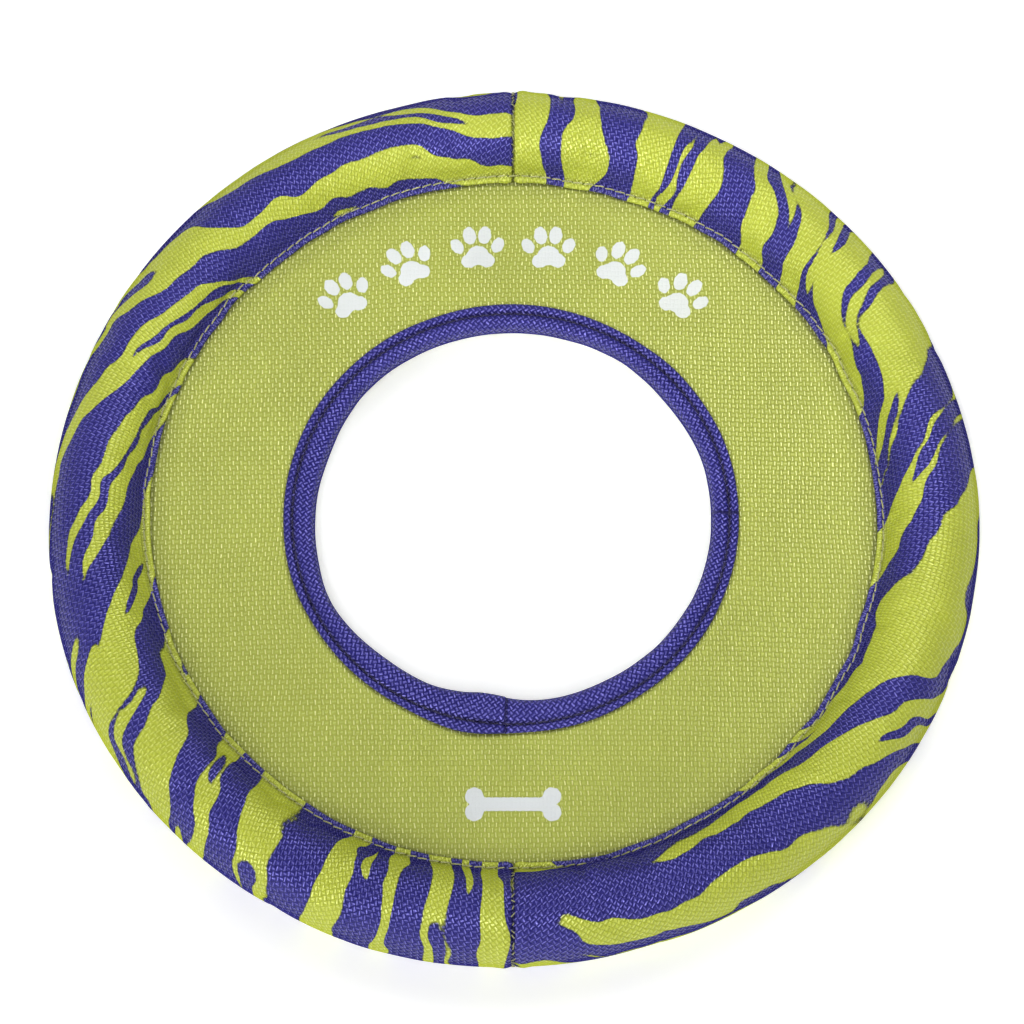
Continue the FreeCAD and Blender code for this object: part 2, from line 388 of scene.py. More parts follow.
def grid_value(grid, ring, row):
    """Value of a grid between its nodes. Rings close up, rows stop at the ends."""
    row = np.clip(row, 0, grid.shape[1] - 1.001)
    low_ring = np.floor(ring).astype(int)
    low_row = np.floor(row).astype(int)
    across, along = smooth(0, 1, ring - low_ring), smooth(0, 1, row - low_row)
    after = (low_ring + 1) % len(grid)
    low_ring = low_ring % len(grid)
    near = grid[low_ring, low_row] * (1 - along) + grid[low_ring, low_row + 1] * along
    far = grid[after, low_row] * (1 - along) + grid[after, low_row + 1] * along
    return near * (1 - across) + far * across


PUCKERS = simulate_cover()


def rim_wave(angle):
    """How far the soft rim's centre line strays from a circle."""
    return 0.45 * np.cos(np.radians(2 * angle - 50)) + 0.3 * np.cos(np.radians(3 * angle + 40))


def rim_relief(angle, station):
    """Height of the cover's dimples and puckers over its plain shape."""
    row = (station + STITCH_STATION) / (2 * STITCH_STATION) * (SIM_ROWS - 1)
    pucker = grid_value(PUCKERS, (angle % 360) * SIM_RINGS / 360, row)
    swell = lattice_noise(angle * 0.055 + np.where(station > 0, 0, 40), station / 18 + 9, 74)
    quilt = bump(np.abs(station) - STITCH_STATION, 0.75) * np.cos(np.radians(angle) * RIM_STITCHES)
    by_hem = 0.45 + 0.55 * bump(STITCH_STATION - np.abs(station), 9)
    return 0.12 + np.clip(by_hem * pucker, -0.45, 0.9) + 0.18 * swell - 0.07 * quilt


def rim_surface(angle, station, depth):
    """Radius and height over the middle plane of a point at a depth under the cover's outer face."""
    radius, height, out_r, out_h = section_at(station)
    on_hem = smooth(STITCH_STATION - 4, STITCH_STATION - 1.5, np.abs(station))
    lift = CLOTH / 2 - depth + rim_relief(angle, station) * (1 - on_hem)
    lift = lift - 0.10 * on_hem * bump(np.abs(station) - STITCH_STATION, 0.6)
    hem_wave = 0.38 * round_noise(angle, 9, 75) + 0.25 * round_noise(angle, 30, 76)
    radius = radius + out_r * lift + rim_wave(angle) * (1 - on_hem) + hem_wave * on_hem
    return radius, np.maximum(height + out_h * lift, -MIDDLE)


# -------- the printed stripes

# Places along a cover in degrees from its own first seam, a little past both ends
ALONG = np.linspace(-5, 185, 400)
ALONG_STEP = math.radians(ALONG[1] - ALONG[0]) * RIM_CENTRE


def filled_in(values):
    """Values given at a few angles, filled in at ALONG."""
    return np.interp(ALONG, list(values), list(values.values()))


def swung(along, station, rate_along, rate_up):
    """Adds up a rate of change along the rim and one over its section, both given at ALONG."""
    travelled = np.interp(along, ALONG, np.cumsum(rate_along) * ALONG_STEP)
    return travelled + station * np.interp(along, ALONG, rate_up)


def stripe_field(along, station, seed, bias):
    """Positive where the cover's print is lime, negative where it is indigo.

    along is the angle from the cover's own first seam. The stripes cross the rim there and swing
    round until they run along it. They wander, merge and end, and thin needles split them."""
    lean = np.radians(filled_in(STRIPE_LEAN))
    width = filled_in(STRIPE_WIDTH)
    across = swung(along, station, np.sin(lean) / width, -np.cos(lean) / width)
    down = swung(along, station, np.cos(lean), np.sin(lean))

    def noise(a, b, number):
        return lattice_noise(a, b, seed + number)

    phase = across + 0.42 * noise(across * 0.55 + 5, down / 34 + 9, 0)
    phase += 0.13 * noise(across * 1.3 + 3, down / 13 + 3, 1)
    phase += 0.05 * noise(across * 3 + 3, down / 5 + 3, 11)
    needle = 2.3 * noise(across * 1.1 + 11, down / 30 + 5, 9)
    field = np.cos(2 * np.pi * phase) - needle * (0.5 + 0.5 * np.cos(4 * np.pi * phase)) ** 2
    field += 0.70 * noise(across + 31, down / 42 + 15, 10)
    field += 0.30 * noise(across * 2.4, down / 16, 6)
    field += 0.30 * noise(across * 3.3 + 7, down / 8 + 21, 14)
    return field + bias


def cover_grain(along, station):
    """Place in the cover's cloth. Its threads turn about half as fast as the rim does."""
    lean = np.radians(-0.46 * (ALONG - 90))
    u = swung(along, station, np.cos(lean), -np.sin(lean))
    v = swung(along, station, np.sin(lean), np.cos(lean))
    return u, v


# -------- covers

def seam_angles(start):
    """Angles of a cover's rings: four to a stitch, and closer where its ends roll into the seams."""
    step = 360 / RIM_STITCHES / 4
    inner = np.arange(math.ceil((start + 1.2) / step), math.floor((start + 178.8) / step) + 1) * step
    close = np.degrees(np.array([0.02, 0.12, 0.3, 0.5, 0.8, 1.3, 1.8]) / RIM_CENTRE)
    return np.r_[start + close, inner, start + 180 - close[::-1]]


def make_cover(name, node, start, seed, bias, material):
    """Half of the rim's cover as a shell of cloth, hemmed on both faces of the panel.

    Its attributes are grain, the place in the weave; stripe, the print's field; and sewing, which
    counts stitches and gives the distances past the row of stitches and from the nearer seam."""
    angles = seam_angles(start)[:, None]
    stations = STATION[None, :]
    from_seam = np.minimum(angles - start, start + 180 - angles) * math.radians(1) * RIM_CENTRE
    roll = np.clip(SEAM_ROLL - from_seam, 0, SEAM_ROLL)
    sink = SEAM_ROLL - np.sqrt(SEAM_ROLL ** 2 - roll ** 2)
    ridge = 0.32 * bump(from_seam - 2.4, 1.5) - 0.25 * bump(from_seam, 1.1)
    inner_depth = 0.93 * CLOTH
    skins = []
    for depth in (sink - ridge, inner_depth):
        radius, height = rim_surface(angles, stations, depth)
        skins.append(around(radius, angles, MIDDLE + height))
    points = np.concatenate([skins[0], skins[1][:, ::-1]], axis=1)
    rings, loop = points.shape[:2]
    faces = loft_faces(rings, loop, False) + shell_cap(0, loop) + shell_cap((rings - 1) * loop, loop)

    along = np.broadcast_to(start + 180 - angles, (rings, len(STATION)))
    station = np.broadcast_to(stations, along.shape)

    def both(values):
        values = np.broadcast_to(values, along.shape)
        return np.concatenate([values, values[:, ::-1]], axis=1).ravel()

    u, v = cover_grain(along, station)
    stitches = (start + 180 - along) * RIM_STITCHES / 360
    past_row = np.abs(station) - STITCH_STATION
    attributes = {
        "grain": np.stack([both(u), both(v), both(0)], -1),
        "stripe": both(stripe_field(along, station, seed, bias)),
        "sewing": np.stack([both(stitches), both(past_row), both(from_seam)], -1),
    }
    cover = make_piece(name, points, faces, attributes, material, node)


# -------- printed motifs

def motif_places(x, y):
    """For points on the panel: the place within the nearest motif, and which motif it is.

    The third number is 1 by a paw print, 2 by the bone and 0 away from both."""
    motifs = [(BONE, BONE_SIZE, BONE_ROW, FRONT, 180)]
    middle = (len(PAW_TILTS) - 1) / 2
    for number, tilt in enumerate(PAW_TILTS):
        motifs.append((PAW, PAW_SIZE, PAW_ROW, BACK + PAW_STEP * (middle - number), tilt))
    nearest = np.full(x.shape, 1e6)
    places = np.zeros(x.shape + (3,))
    for kind, size, radius, angle, tilt in motifs:
        turn = math.radians(angle)
        dx, dy = x - radius * math.cos(turn), y - radius * math.sin(turn)
        away = np.hypot(dx, dy)
        turn = math.radians(angle - 90 + tilt)
        across = (dx * math.cos(turn) + dy * math.sin(turn)) / size
        up = (dy * math.cos(turn) - dx * math.sin(turn)) / size
        here = np.stack([across, up, np.where(away < MOTIF_REACH[kind], kind, 0.0)], -1)
        places = np.where((away < nearest)[..., None], here, places)
        nearest = np.minimum(nearest, away)
    return places


# -------- how the binding strays

def off_centre(angle):
    """How far outside its circle the binding is sewn: it sits towards the front left."""
    return SEWN_WIDE + OFF_CENTRE * np.cos(np.radians(angle - OFF_CENTRE_ANGLE))


def tape_widening(angle):
    """How far the tape's outer edge strays from the row of stitches, most of all at the overlap."""
    return 0.35 * round_noise(angle, 16, 93, GROOVE) + 0.8 * bump(angle - OVERLAP_STEP + 9, 9)


def hole_strays(angle):
    """How far the hole's edge strays from its circle. The thick overlap pushes it in."""
    waves = 0.40 * round_noise(angle, 34, 94, GROOVE) + 0.12 * round_noise(angle, 8, 95, GROOVE)
    bulges = sum(height * bump(angle - middle, width) for middle, width, height in HOLE_BULGES)
    return waves + bulges - HOLE_NARROW


def panel_hole(angle):
    """Radius of the panel's own edge inside the binding."""
    return PANEL_HOLE + np.maximum(off_centre(angle), 0)


# -------- panel

def panel_rise(radius, angle):
    """Height of the panel's middle over the plane where it is sewn to the rim."""
    dome = HOLE_LIFT * (1 - smooth(TAPE_EDGE - 6, 100, radius))
    free = smooth(TAPE_EDGE, TAPE_EDGE + 9, radius) * (1 - smooth(STITCH_ROW - 9, STITCH_ROW - 3, radius))
    turn = np.radians(angle)
    swell = lattice_noise(9 + radius * np.cos(turn) / 33, 9 + radius * np.sin(turn) / 33, 81)
    hem_pull = bump(radius - STITCH_ROW + 5, 3.2) * round_noise(angle, 6.5, 82)
    from_tape = radius - TAPE_EDGE - off_centre(angle)
    tape_pull = bump(from_tape - 1.5, 2.0) * round_noise(angle, 5, 83, GROOVE)
    return dome + 0.55 * swell * free + 0.16 * hem_pull + 0.12 * tape_pull


def make_panel_layer(name, node, low, high, material):
    """One layer of the panel, following the panel's gentle rise.

    Its attributes are grain, the place in the weave; motif, the place in the nearest print; and
    from_tape, the distance outside the binding's edge."""
    angles = np.arange(0, 360, 0.5)[:, None]
    share = np.linspace(0, 1, 49)[None, :]
    radii = panel_hole(angles) * (1 - share) + PANEL_RADIUS * share
    rise = panel_rise(radii, angles)
    upper = around(radii, angles, MIDDLE + rise + high)
    lower = around(radii, angles, MIDDLE + rise + low)
    points = np.concatenate([upper, lower[:, ::-1]], axis=1)
    rings, loop = points.shape[:2]
    x, y, _ = points.reshape(-1, 3).T
    sway_x, sway_y = (0.5 * lattice_noise(9 + x / 21, 9 + y / 21, seed) for seed in (84, 85))
    from_tape = radii - TAPE_EDGE - off_centre(angles) - tape_widening(angles)
    attributes = {
        "grain": np.stack([x + sway_x, y + sway_y, 0 * x], -1),
        "motif": motif_places(x, y),
        "from_tape": np.concatenate([from_tape, from_tape[:, ::-1]], axis=1).ravel(),
    }
    return make_piece(name, points, loft_faces(rings, loop, True), attributes, material, node)


def make_panel(plain, printed, foam):
    """The foam sheet between two cloths, the upper one printed."""
    half = PANEL_FOAM / 2
    inside = half + LAYER_GAP
    sheet = make_panel_layer("panel_foam_sheet", "panel_core", -half, half, foam)
    layers = [
        ("panel_cloth_top", "panel_top", inside, PANEL_HALF, printed),
        ("panel_cloth_bottom", "panel_bottom", -PANEL_HALF, -inside, plain),
    ]
    for name, node, low, high, cloth in layers:
        layer = make_panel_layer(name, node, low, high, cloth)


# -------- binding

def tape_outline():
    """Outer face of the folded tape, from its upper edge round the nose to its lower edge."""
    lip_top = LAYER + 0.85
    roll_top = LAYER + 1.2
    nose = 2.3
    roll_start = HOLE_RADIUS + nose
    edge = [(TAPE_EDGE - 0.45, LAYER + 0.02), (TAPE_EDGE - 0.08, LAYER + 0.22), (TAPE_EDGE, LAYER + 0.5),
            (TAPE_EDGE - 0.14, LAYER + 0.76)]
    radii = np.linspace(TAPE_EDGE - 0.4, roll_start + 0.5, 26)
    heights = lip_top + (roll_top - lip_top) * (1 - smooth(roll_start + 0.3, GROOVE - 0.4, radii))
    heights = heights + 0.14 * bump(radii - TAPE_EDGE + 1.05, 0.7) - 0.72 * bump(radii - GROOVE, 0.52)
    turn = np.radians(np.linspace(90, -90, 27))
    power = 2 / 2.3
    nose_r = roll_start - nose * np.abs(np.cos(turn)) ** power
    nose_h = roll_top * np.sign(np.sin(turn)) * np.abs(np.sin(turn)) ** power
    upper = edge + list(zip(radii, heights))
    lower = [(r, -h) for r, h in upper[::-1]]
    return np.array(upper + list(zip(nose_r, nose_h)) + lower)


def doubled(angle):
    """1 where the tape's folded end lies on its beginning, dropping to 0 at the end's own edge."""
    before = OVERLAP_STEP - angle
    return smooth(0, 0.45, before) * (1 - smooth(OVERLAP_SPAN - 5, OVERLAP_SPAN, before))


def tape_surface(angle, outline):
    """Radius and height of the tape's outer face round the hole."""
    radius, height = outline[None, :, 0], outline[None, :, 1]
    side = np.sign(height)
    on_lip = smooth(GROOVE + 0.4, GROOVE + 1.2, radius)
    on_nose = 1 - smooth(HOLE_RADIUS + 0.5, GROOVE, radius)
    plump = 0.16 * round_noise(angle, 7, 91, GROOVE) + 0.10 * round_noise(angle, 3.3, 92, GROOVE)
    pull = 0.10 * bump(radius - GROOVE, 0.6) * np.cos(np.radians(angle) * BINDING_STITCHES)
    extra = 0.5 * doubled(angle) - 0.38 * bump(angle - OVERLAP_STEP - 0.30, 0.25)
    free = smooth(LAYER + 0.05, LAYER + 0.5, np.abs(height))
    height = height + side * free * (extra + plump * (0.4 + 0.6 * on_nose) + pull)
    hole = hole_strays(angle) - 0.25 * doubled(angle)
    radius = radius + tape_widening(angle) * on_lip + off_centre(angle) * (1 - on_nose) + hole * on_nose
    return radius, height + HOLE_LIFT


def make_binding(material):
    """Woven tape folded round the edge of the hole, its two ends overlapped.

    Its attributes are grain, the place in the slanting weave, and sewing, which counts stitches
    and gives the distances outside the row of stitches and past the step of the overlap."""
    outline = tape_outline()
    fine = OVERLAP_STEP + np.linspace(-1.0, 1.2, 23)
    coarse = np.arange(0, 360, 0.9)
    angles = np.sort(np.r_[coarse[np.abs(coarse - OVERLAP_STEP - 0.1) > 1.3], fine])[:, None]
    radius, height = tape_surface(angles, outline)
    outer = around(radius, angles, MIDDLE + height)
    share = np.r_[np.linspace(1, 0, 6), 0, np.linspace(0, 1, 6)]
    level = np.r_[np.full(6, -LAYER), 0, np.full(6, LAYER)]
    deepest = panel_hole(angles) - LAYER_GAP
    mouth = TAPE_EDGE - 0.5 + off_centre(angles)
    inner = around(deepest + (mouth - deepest) * share, angles, MIDDLE + HOLE_LIFT + level)
    points = np.concatenate([outer, inner], axis=1)
    rings, loop = points.shape[:2]

    steps = np.linalg.norm(np.diff(points, axis=1), axis=-1)
    across = np.concatenate([np.zeros((rings, 1)), np.cumsum(steps, axis=1)], axis=1)
    along = np.radians(angles) * GROOVE + np.where(angles > OVERLAP_STEP, 0.6, 0)
    plain_radius = np.r_[outline[:, 0], PANEL_HOLE + (TAPE_EDGE - PANEL_HOLE) * share]
    stitches = angles * BINDING_STITCHES / 360
    past_step = np.radians(angles - OVERLAP_STEP) * GROOVE

    def per_point(*values):
        return np.stack([np.broadcast_to(value, (rings, loop)) for value in values], -1).reshape(-1, 3)

    attributes = {
        "grain": per_point((along + across) / math.sqrt(2), (along - across) / math.sqrt(2), 0),
        "sewing": per_point(stitches, plain_radius[None, :] - GROOVE, past_step),
    }
    faces = loft_faces(rings, loop, True)
    make_piece("hole_binding_tape", points, faces, attributes, material, "hole_binding")


# -------- threads

def make_stitches(name, node, ends, ups, thread, material):
    """A row of round threads as one piece, each arched over the cloth from one end to the other.

    Both ends are sunk into their needle holes. ply, the attribute, turns round and along a thread."""
    share = np.array([0, 0.06, 0.16, 0.34, 0.5, 0.66, 0.84, 0.94, 1.0])
    lift = np.array([-0.55, -0.1, 0.55, 0.92, 1, 0.92, 0.55, -0.1, -0.55])
    thick = np.array([0.8, 0.9, 1, 1, 1, 1, 1, 0.9, 0.8])
    turn = np.linspace(0, 2 * np.pi, 9)[:-1]
    starts = ends[0]
    run = ends[1] - starts
    side = np.cross(run, ups)
    side /= np.linalg.norm(side, axis=-1, keepdims=True)
    arch = ups[:, None] * (thread["rise"] * lift)[None, :, None]
    centre = starts[:, None] + run[:, None] * share[None, :, None] + arch
    spread = np.cos(turn)[:, None] * side[:, None, None] + np.sin(turn)[:, None] * ups[:, None, None]
    points = centre[:, :, None] + spread * (thread["radius"] * thick)[None, :, None, None]
    count, rings, loop = points.shape[:3]
    ply = np.broadcast_to(turn[None, None, :] * 3 + share[None, :, None] * 22, (count, rings, loop))
    one = loft_faces(rings, loop, False)
    one.append(list(range(loop)))
    one.append([(rings - 1) * loop + i for i in range(loop)][::-1])
    faces = [[corner + number * rings * loop for corner in face] for number in range(count)
             for face in one]
    make_piece(name, points, faces, {"ply": ply.ravel()}, material, node)


def upward(side, count):
    return np.tile((0.0, 0.0, float(side)), (count, 1))


def rim_stitches(name, node, side, material):
    """The lock-stitched row that holds a hem, on the upper or lower face."""
    rng = np.random.default_rng(5 if side > 0 else 6)
    pitch = 360 / RIM_STITCHES
    slant = 0.16
    ends = []
    for way in (-1, 1):
        middle = np.arange(RIM_STITCHES) * pitch
        angle = middle + way * RIM_THREAD["half"] * pitch + rng.normal(0, 0.03, RIM_STITCHES)
        station = side * (STITCH_STATION + way * slant + rng.normal(0, 0.05, RIM_STITCHES))
        radius, height = rim_surface(angle, station, 0)
        ends.append(around(radius, angle, MIDDLE + height))
    make_stitches(name, node, ends, upward(side, RIM_STITCHES), RIM_THREAD, material)


def binding_stitches(name, node, side, material):
    """The dark row sunk in the binding's groove."""
    outline = tape_outline()
    upper = outline[: len(outline) // 2]
    floor = upper[int(np.argmin(np.abs(upper[:, 0] - GROOVE)))] * (1, side)
    pitch = 360 / BINDING_STITCHES
    slant = 0.1
    ends = []
    for way in (-1, 1):
        angle = ((np.arange(BINDING_STITCHES) + way * BINDING_THREAD["half"]) * pitch)[:, None]
        radius, height = tape_surface(angle, floor[None, :])
        ends.append(around(radius + slant * way, angle, MIDDLE + height)[:, 0])
    ups = upward(side, BINDING_STITCHES)
    make_stitches(name, node, ends, ups, BINDING_THREAD, material)


def seam_stitches(name, node, seam, material):
    """Bits of thread that cross in the valley of a seam, none where the rim rests."""
    rng = np.random.default_rng(int(abs(seam)) + 8)
    valley = 0.34
    stations = np.arange(-26, 27) * SEAM_PITCH
    stations = stations + rng.uniform(-0.5, 0.5, len(stations))
    stations = stations[np.abs(stations) < STITCH_STATION - 3]
    _, height = rim_surface(seam, stations, 0)
    stations = stations[height > 2.5 - MIDDLE]
    slant = rng.choice((-1.0, 1.0), len(stations)) * rng.uniform(0.06, 0.34, len(stations))
    half = rng.uniform(0.3, 0.75, len(stations))
    ends = []
    for way in (-1, 1):
        angle = seam + way * slant
        radius, height = rim_surface(angle, stations + way * half, valley)
        ends.append(around(radius, angle, MIDDLE + height))
    _, _, out_r, out_h = section_at(stations)
    ups = around(out_r, seam, out_h)
    ups /= np.linalg.norm(ups, axis=-1, keepdims=True)
    make_stitches(name, node, ends, ups, SEAM_THREAD, material)


# -------- foam rod

def make_core(material):
    """The foam rod inside the rim, flattened by the panel's edge and at the foot."""
    rod = SECTION - CLOTH - 0.75
    flat = RIM_CENTRE - PANEL_RADIUS - 0.35
    foot = MIDDLE - CLOTH - 0.1
    turn = np.radians(np.arange(0, 360, 6))[None, :]
    angles = np.arange(0, 360, 1.0)[:, None]
    from_seam = np.abs(angles % 180 - 90)
    size = rod - CLOTH * (1 - smooth(4.2, 4.8, from_seam))
    radius = RIM_CENTRE + rim_wave(angles) + np.maximum(size * np.cos(turn), -flat)
    height = np.maximum(size * np.sin(turn), -foot)
    points = around(radius, angles, MIDDLE + height)
    faces = loft_faces(*points.shape[:2], True)
    core = make_piece("core_foam_rod", points, faces, {}, material, "core_ring")


# -------- materials

class Shader:
    """A material's node tree, with short calls for the nodes used here."""

    def __init__(self, name):
        self.material = bpy.data.materials.new(name)
        self.material.use_nodes = True
        self.tree = self.material.node_tree
        self.surface = self.tree.nodes["Principled BSDF"]

    def node(self, kind, inputs=(), **settings):
        made = self.tree.nodes.new(kind)
        for key, value in settings.items():
            setattr(made, key, value)
        self.fill(made, inputs)
        return made

    def fill(self, node, inputs):
        """Sets a node's inputs, or links them where a value is another node's output."""
        for key, value in dict(inputs).items():
            if isinstance(value, bpy.types.NodeSocket):
                self.tree.links.new(value, node.inputs[key])
            else:
                node.inputs[key].default_value = value

    def maths(self, operation, *values):
        return self.node("ShaderNodeMath", enumerate(values), operation=operation).outputs[0]

    def plus(self, first, second):
        return self.maths("ADD", first, second)

    def minus(self, first, second):
        return self.maths("SUBTRACT", first, second)

    def times(self, first, *others):
        for other in others:
            first = self.maths("MULTIPLY", first, other)
        return first

    def size(self, value):
        return self.maths("ABSOLUTE", value)

    def length(self, x, y):
        return self.maths("SQRT", self.plus(self.times(x, x), self.times(y, y)))

    def ramp(self, value, low, high, out_low=0.0, out_high=1.0):
        inputs = {"Value": value, 1: low, 2: high, 3: out_low, 4: out_high}
        return self.node("ShaderNodeMapRange", inputs, interpolation_type="SMOOTHSTEP").outputs[0]

    def mix(self, share, first, second, how="MIX"):
        inputs = {0: share, 6: first, 7: second}
        return self.node("ShaderNodeMix", inputs, data_type="RGBA", blend_type=how).outputs[2]

    def blend(self, share, first, second):
        return self.node("ShaderNodeMix", {0: share, 2: first, 3: second}, data_type="FLOAT").outputs[0]

    def shade(self, colour, amount):
        """The colour times a grey amount."""
        grey = self.node("ShaderNodeCombineColor", {0: amount, 1: amount, 2: amount}).outputs[0]
        return self.mix(1.0, colour, grey, "MULTIPLY")

    def attribute(self, name, output="Vector"):
        return self.node("ShaderNodeAttribute", attribute_name=name).outputs[output]

    def place(self):
        """The point's place on the object, in metres."""
        return self.node("ShaderNodeTexCoord").outputs["Object"]

    def split(self, vector):
        return self.node("ShaderNodeSeparateXYZ", {0: vector}).outputs

    def noise(self, vector, scale, detail=2.0):
        inputs = {"Vector": vector, "Scale": scale, "Detail": detail}
        return self.node("ShaderNodeTexNoise", inputs).outputs[0]

    def random(self, value):
        """A number from 0 to 1 that changes at every whole value."""
        cell = self.maths("FLOOR", value)
        return self.node("ShaderNodeTexWhiteNoise", {"W": cell}, noise_dimensions="1D").outputs[0]

    def finish(self, colour, roughness, height, relief, tint=WHITE, sheen=0.0):
        """Connects the surface. relief is the bump's real height in metres."""
        bumped = self.node("ShaderNodeBump", {"Height": height, "Distance": relief, "Strength": 1.0})
        self.fill(self.surface, {
            "Base Color": colour, "Roughness": roughness, "Normal": bumped.outputs[0],
            "Specular Tint": tint, "Sheen Weight": sheen, "Sheen Roughness": 0.4})
        return self.material


def plain_weave(shader, warp, weft, glint, lean, weft_shine=1.0):
    """Height of a plain weave, the lines where its threads glint, and its chequers.

    Threads are round bars, which run along the warp where it is on top and along the weft where
    that is, in a chequerboard. glint is half of a glint's width as a share of the thread's, and
    lean how far it leans, since the filaments are twisted. woven paints the glint lines into the
    cloth's colour as highlight, and raises its gloss on them."""
    grain = shader.attribute("grain")
    x, y, _ = shader.split(grain)
    sway = shader.minus(shader.noise(grain, 0.30, 3), 0.5)
    x = shader.plus(x, shader.times(sway, 0.9))
    y = shader.plus(y, shader.times(sway, -0.7))
    waves, steeps, parts, shines = [], [], [], []
    for place, pitch, most in ((x, warp, 1.0), (y, weft, weft_shine)):
        threads = shader.maths("DIVIDE", place, pitch)
        waves.append(shader.maths("SINE", shader.times(threads, math.pi)))
        steeps.append(shader.size(waves[-1]))
        parts.append(shader.minus(shader.maths("FRACT", threads), 0.5))
        shines.append(shader.ramp(shader.random(threads), 0.0, 1.0, 0.7 * most, 1.1 * most))
    over = shader.times(*waves)
    bars, lines = [], []
    for way, other, slope in ((0, 1, lean), (1, 0, -lean)):
        ends = shader.ramp(steeps[other], 0.0, 0.3, 0.5, 1.0)
        bars.append(shader.times(shader.maths("POWER", steeps[way], 0.6), ends))
        off_line = shader.size(shader.plus(parts[way], shader.times(parts[other], slope)))
        line = shader.ramp(off_line, 0.03, glint, 1.0, 0.0)
        lines.append(shader.times(line, shader.ramp(steeps[other], 0.05, 0.4), shines[way]))
    warp_on_top = shader.ramp(over, -0.05, 0.05)
    height = shader.blend(warp_on_top, shader.times(bars[1], 0.85), bars[0])
    # The glint lines, which woven paints into the colour as highlight and uses to raise the gloss
    glint_lines = shader.blend(warp_on_top, lines[1], lines[0])
    return height, glint_lines, over


def woven(shader, dye, painted_glint, tint, weave, relief, gloss, gap_shade, painted_glint_share, dark, ink=None):
    """Finishes a cloth of shiny round threads, with painted shade in the gaps between them and painted
    highlight lines along their tops.

    After the gloss come the tone of the painted shade between threads, how strong the painted
    highlight lines are, a painted shade over everything (on the cover it also holds the darker
    line where the inks overlap), and the share covered by thick matt ink, which fills the weave."""
    height, glint_lines, _ = weave
    grain = shader.attribute("grain")
    glint_lines = shader.times(glint_lines, shader.ramp(shader.noise(grain, 0.9, 2), 0.25, 0.75, 0.45, 1.0))
    if ink is not None:
        height = shader.blend(ink, height, shader.ramp(height, 0.0, 1.0, 0.75, 0.95))
        glint_lines = shader.times(glint_lines, shader.ramp(ink, 0.0, 1.0, 1.0, 0.0))
    cloudy = shader.ramp(shader.noise(shader.place(), 38, 3), 0.3, 0.7, 0.95, 1.04)
    # Painted shade: darker between the threads and wherever the shade passed in darkens, with a random
    # cloudy tone
    tone = shader.times(shader.ramp(height, 0.0, 0.6, gap_shade, 1.0), cloudy, dark)
    # Painted highlight: the glint lines lighten the colour towards the glint colour
    colour = shader.mix(shader.times(glint_lines, painted_glint_share), shader.shade(dye, tone), painted_glint)
    fibre = shader.noise(grain, 6.0, 4)
    rough = shader.plus(shader.ramp(height, 0.1, 0.8, gloss + 0.2, gloss), shader.times(fibre, 0.08))
    bumpy = shader.plus(height, shader.times(fibre, 0.06))
    slanted = shader.node("ShaderNodeLayerWeight", {"Blend": 0.5}).outputs["Facing"]
    facing = shader.ramp(slanted, 0.15, 0.68, 1.0, 0.0)
    glossy = shader.times(facing, shader.ramp(glint_lines, 0.0, 0.8, 0.4, 1.0))
    shader.fill(shader.surface, {"IOR": YARN_IOR, "Specular IOR Level": glossy})
    return shader.finish(colour, rough, bumpy, relief, tint, sheen=0.02)


def needle_hole_shade(shader, row_radius, stitches):
    """Painted shade in the pits where the needle went through, one between each two stitches of a row."""
    pitch = 2 * math.pi * row_radius / stitches
    count, past_row, _ = shader.split(shader.attribute("sewing"))
    along = shader.times(shader.minus(shader.maths("FRACT", count), 0.5), pitch)
    return shader.ramp(shader.length(along, past_row), 0.18, 0.55, 0.25, 1.0)


def make_cover_cloth(name):
    """Polyester printed with lime and indigo stripes, darker where the inks overlap. The hem's fold shows
    bare white fibres. Painted shade darkens the needle holes, the cross seams and the sewn valley.
    """
    shader = Shader(name)
    weave = plain_weave(shader, WARP_PITCH, WEFT_PITCH, glint=0.24, lean=0.45, weft_shine=0.7)
    stripe = shader.attribute("stripe", "Fac")
    ragged = shader.times(weave[2], 0.035)
    lime = shader.ramp(shader.plus(stripe, ragged), -0.045, 0.045)
    overprint = shader.ramp(shader.size(stripe), 0.0, 0.12, 0.35, 1.0)
    _, past_row, from_seam = shader.split(shader.attribute("sewing"))
    grain = shader.attribute("grain")
    # Painted shade in the valley of each cross seam
    seam = shader.ramp(shader.plus(from_seam, shader.noise(grain, 1.1, 2)), 0.7, 1.3, 0.25, 1.0)
    # Painted shade in the valley along the row of stitches
    valley = shader.ramp(shader.size(shader.plus(past_row, 0.3)), 0.1, 1.7, 0.62, 1.0)
    # Painted shade of the needle holes, seams and valley, times the darker line where the inks overlap,
    # which is print
    dark = shader.times(needle_hole_shade(shader, STITCH_ROW, RIM_STITCHES), overprint, seam, valley)
    on_fold = shader.ramp(past_row, 0.5, 1.5)
    worn = shader.times(shader.ramp(shader.noise(grain, 2.2, 3), 0.55, 0.62), on_fold,
                        shader.ramp(lime, 0.0, 1.0, 0.6, 0.12))
    dye = shader.mix(worn, shader.mix(lime, INDIGO, LIME), SPECK)
    # Colour of the painted highlight lines on the threads
    painted_glint = shader.mix(lime, INDIGO_PAINTED_GLINT, LIME_PAINTED_GLINT)
    tint = shader.mix(lime, INDIGO_GLOSS, LIME_GLOSS)
    # Tone of the painted shade between the threads, darker on indigo than on lime
    gap_shade = shader.ramp(lime, 0.0, 1.0, 0.5, 0.8)
    return woven(shader, dye, painted_glint, tint, weave, COVER_RELIEF, 0.27, gap_shade, 0.56, dark)


